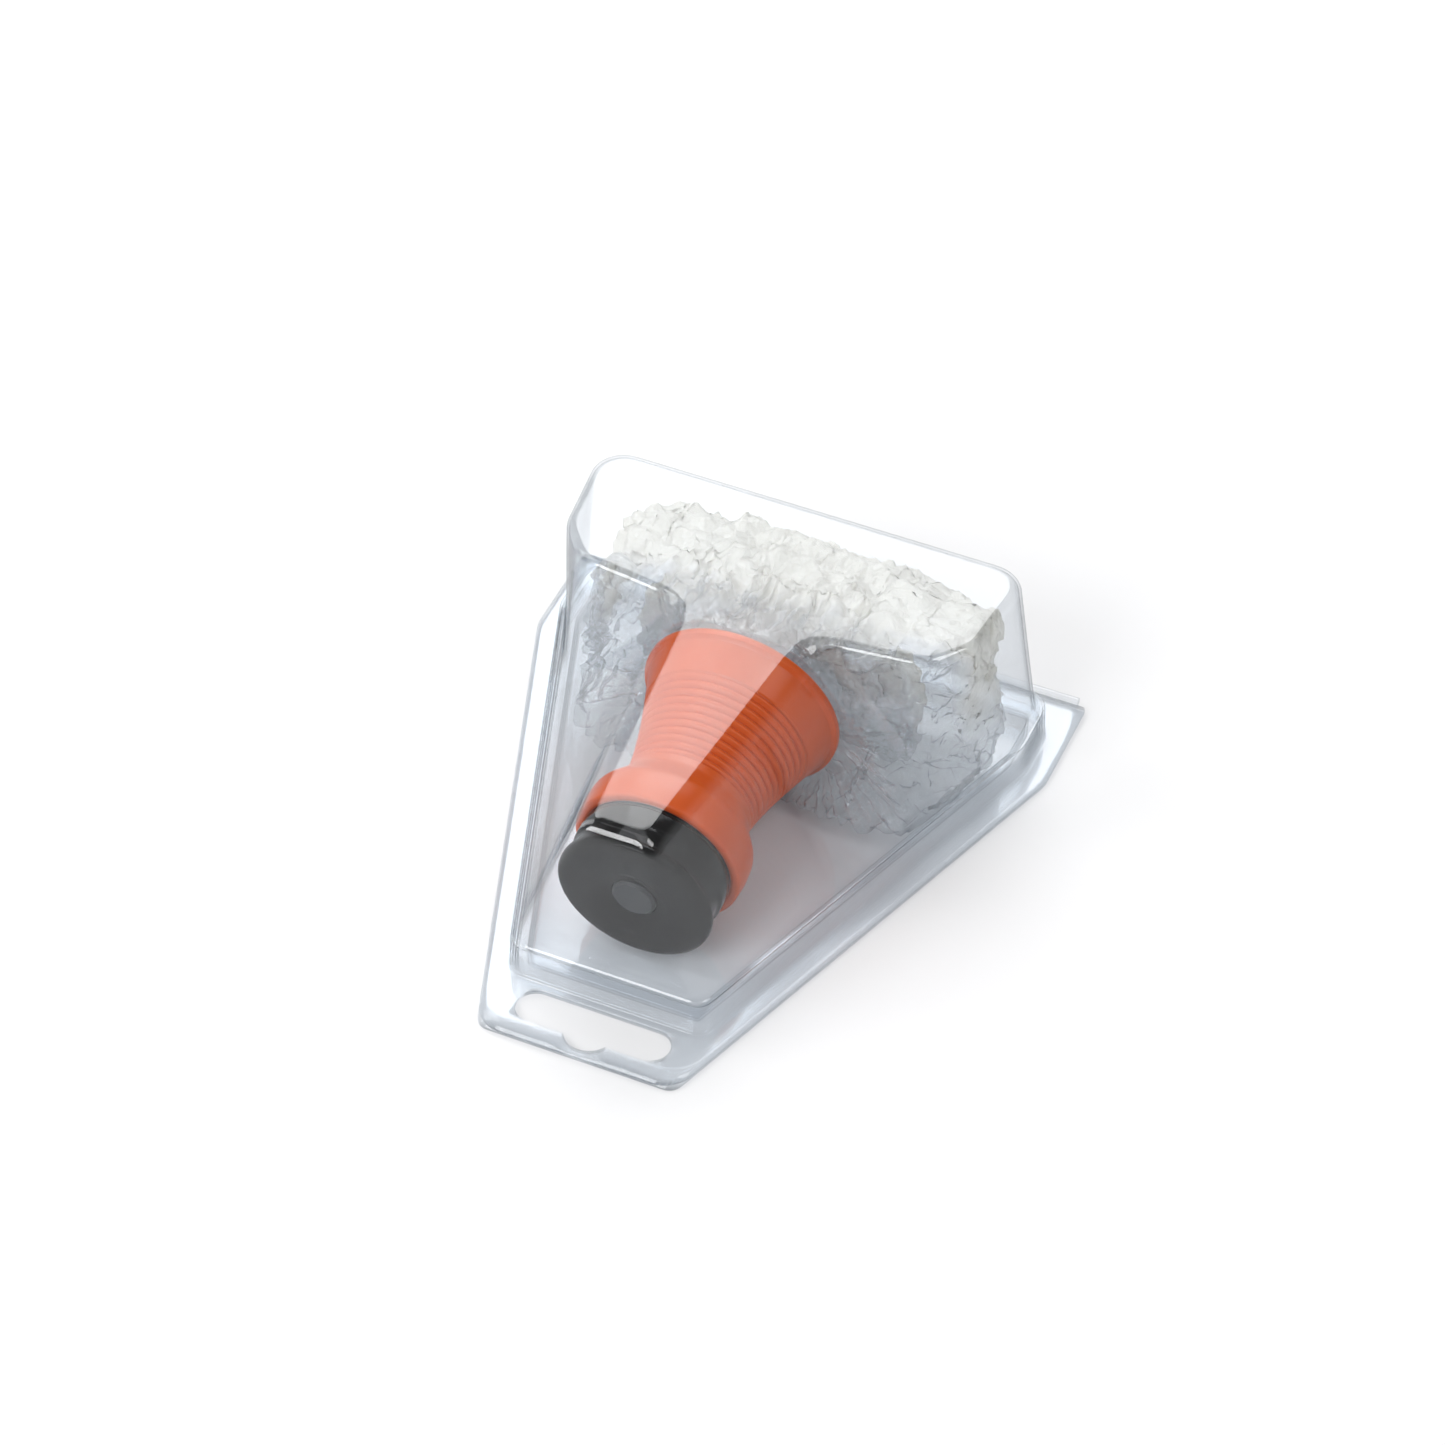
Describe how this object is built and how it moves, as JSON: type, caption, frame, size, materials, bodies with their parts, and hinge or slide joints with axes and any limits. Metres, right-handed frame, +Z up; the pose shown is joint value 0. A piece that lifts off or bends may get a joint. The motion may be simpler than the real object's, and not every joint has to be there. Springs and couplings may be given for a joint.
{
  "type": "pheromone insect trap",
  "caption": "Funnel trap with ribbed neck, push-in cap, lure basket and gathered film catch bag, lying in a clear hinged hanging pack.",
  "frame": {"origin": "centre of the base rectangle, on the surface that the pack lies on", "axes": "+Z up out of the pack's back, +Y from the narrow hanging end to the hinged wide end, +X across"},
  "size_m": [0.1116, 0.127, 0.0442],
  "materials": {
    "clear_pet": "clear gloss",
    "orange_pp": "translucent gloss",
    "black_pp": "gloss",
    "bag_film": "crumpled film",
    "foam": "matte",
    "white_pp": "satin",
    "red_rubber": "matte"
  },
  "bodies": {
    "back": {"back_shell": "clear_pet", "hinge_bead": "clear_pet"},
    "lid": {"front_shell": "clear_pet"},
    "trap": {"funnel_neck": "orange_pp", "entry_cone": "orange_pp"},
    "cap": {"push_cap": "black_pp", "cap_liner": "foam"},
    "lure": {"lure_plug": "black_pp", "lure_basket": "white_pp", "lure_capsule": "red_rubber"},
    "bag": {"catch_bag": "bag_film", "bag_ring": "orange_pp"}
  },
  "joints": [
    {"name": "lid_hinge", "type": "hinge", "parent": "back", "child": "lid", "pos_m": [0, 0.0626, 0.0009], "axis": [-1, 0, 0], "range_deg": [0, 100], "deforming": ["catch_bag"]},
    {"name": "trap_lift", "type": "slide", "parent": "back", "child": "trap", "axis": [0, 0, 1], "range_m": [0, 0.0302]},
    {"name": "cap_pull", "type": "slide", "parent": "trap", "child": "cap", "axis": [0, -0.9962, -0.0872], "range_m": [0, 0.0202]},
    {"name": "lure_pull", "type": "slide", "parent": "cap", "child": "lure", "axis": [0, -0.9962, -0.0872], "range_m": [0, 0.0242]},
    {"name": "bag_pull", "type": "slide", "parent": "trap", "child": "bag", "axis": [0, 0.9962, 0.0872], "range_m": [0, 0.0082]}
  ],
  "couplings": [
    {"joint": "trap_lift", "follows": "lid_hinge", "m_per_rad": 0.01718},
    {"joint": "cap_pull", "follows": "lid_hinge", "m_per_rad": 0.01145},
    {"joint": "lure_pull", "follows": "lid_hinge", "m_per_rad": 0.01374},
    {"joint": "bag_pull", "follows": "lid_hinge", "m_per_rad": 0.004583}
  ]
}
